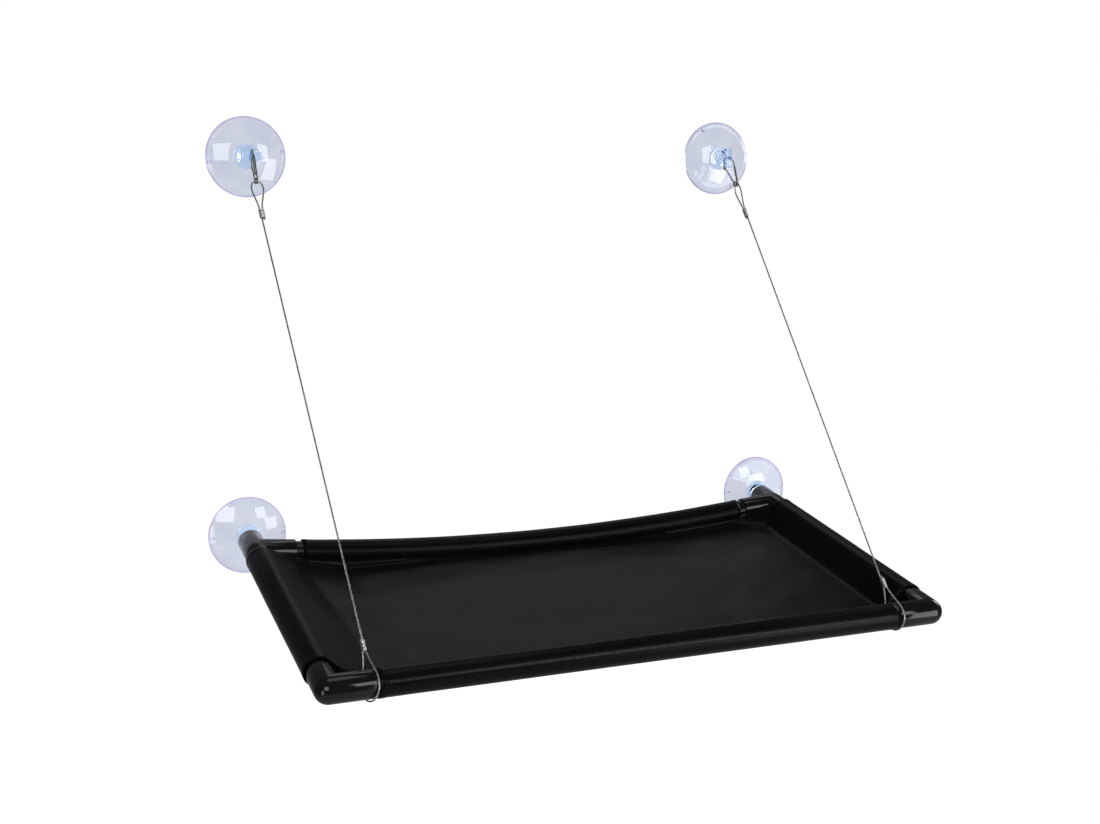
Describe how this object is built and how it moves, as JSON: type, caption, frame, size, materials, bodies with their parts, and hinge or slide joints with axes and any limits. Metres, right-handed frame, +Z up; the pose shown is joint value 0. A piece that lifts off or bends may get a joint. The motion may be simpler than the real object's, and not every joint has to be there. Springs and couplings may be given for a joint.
{
  "type": "window mounted cat perch",
  "caption": "Window perch for a cat: a black cloth tray on a sloping pipe frame, carried by clear suction cups and by slanting wire ropes that snap onto the upper cups.",
  "frame": {"origin": "on the glass, midway between the centres of the two lower suction cups", "axes": "+X along the window, towards the right as seen from the room; +Y into the glass; +Z up"},
  "size_m": [0.637, 0.3353, 0.4731],
  "materials": {
    "clear_vinyl": "clear soft vinyl, glossy",
    "coated_cloth": "black coated cloth, semi-gloss",
    "black_pipe": "black plastic, gloss",
    "ferrule_metal": "crimped, satin",
    "wire_rope": "thin stranded wire rope",
    "spring_wire": "bright spring wire"
  },
  "bodies": {
    "window_cups": {"upper_left_cup": "clear_vinyl", "upper_right_cup": "clear_vinyl", "lower_left_cup": "clear_vinyl", "lower_right_cup": "clear_vinyl"},
    "perch_frame": {"front_pipe": "black_pipe", "rear_pipe": "black_pipe", "left_pipe": "black_pipe", "right_pipe": "black_pipe", "front_left_elbow": "black_pipe", "front_right_elbow": "black_pipe", "rear_left_tee": "black_pipe", "rear_right_tee": "black_pipe", "front_sleeve": "coated_cloth", "rear_sleeve": "coated_cloth", "left_sleeve": "coated_cloth", "right_sleeve": "coated_cloth", "seat_panel": "coated_cloth", "left_cable_run": "wire_rope", "left_cable_loop": "wire_rope", "left_lower_ferrule": "ferrule_metal", "right_cable_run": "wire_rope", "right_cable_loop": "wire_rope", "right_lower_ferrule": "ferrule_metal"},
    "left_snap": {"left_snap_hook": "spring_wire", "left_cable_eye": "wire_rope", "left_upper_ferrule": "ferrule_metal"},
    "left_gate": {"left_snap_gate": "spring_wire"},
    "right_snap": {"right_snap_hook": "spring_wire", "right_cable_eye": "wire_rope", "right_upper_ferrule": "ferrule_metal"},
    "right_gate": {"right_snap_gate": "spring_wire"}
  },
  "joints": [
    {"name": "perch_tilt", "type": "hinge", "parent": "window_cups", "child": "perch_frame", "pos_m": [0, -0.012, -0.0025], "axis": [-1, 0, 0], "range_deg": [0, 10], "deforming": ["lower_left_cup", "lower_right_cup", "left_cable_run", "right_cable_run"]},
    {"name": "left_snap_swing", "type": "hinge", "parent": "window_cups", "child": "left_snap", "pos_m": [-0.2714, -0.026, 0.3617], "axis": [0, 0, 1], "range_deg": [-20, 20]},
    {"name": "left_gate_flex", "type": "hinge", "parent": "left_snap", "child": "left_gate", "pos_m": [-0.2714, -0.04774, 0.33933], "axis": [1, 0, 0], "range_deg": [0, 18], "stiffness_Nm_per_rad": 0.02, "springref_deg": -8.59},
    {"name": "right_snap_swing", "type": "hinge", "parent": "window_cups", "child": "right_snap", "pos_m": [0.226, -0.026, 0.3635], "axis": [1, 0, 0], "range_deg": [-20, 35]},
    {"name": "right_gate_flex", "type": "hinge", "parent": "right_snap", "child": "right_gate", "pos_m": [0.226, -0.04528, 0.33641], "axis": [0, 0.8147, -0.5799], "range_deg": [0, 18], "stiffness_Nm_per_rad": 0.02, "springref_deg": -8.59}
  ]
}
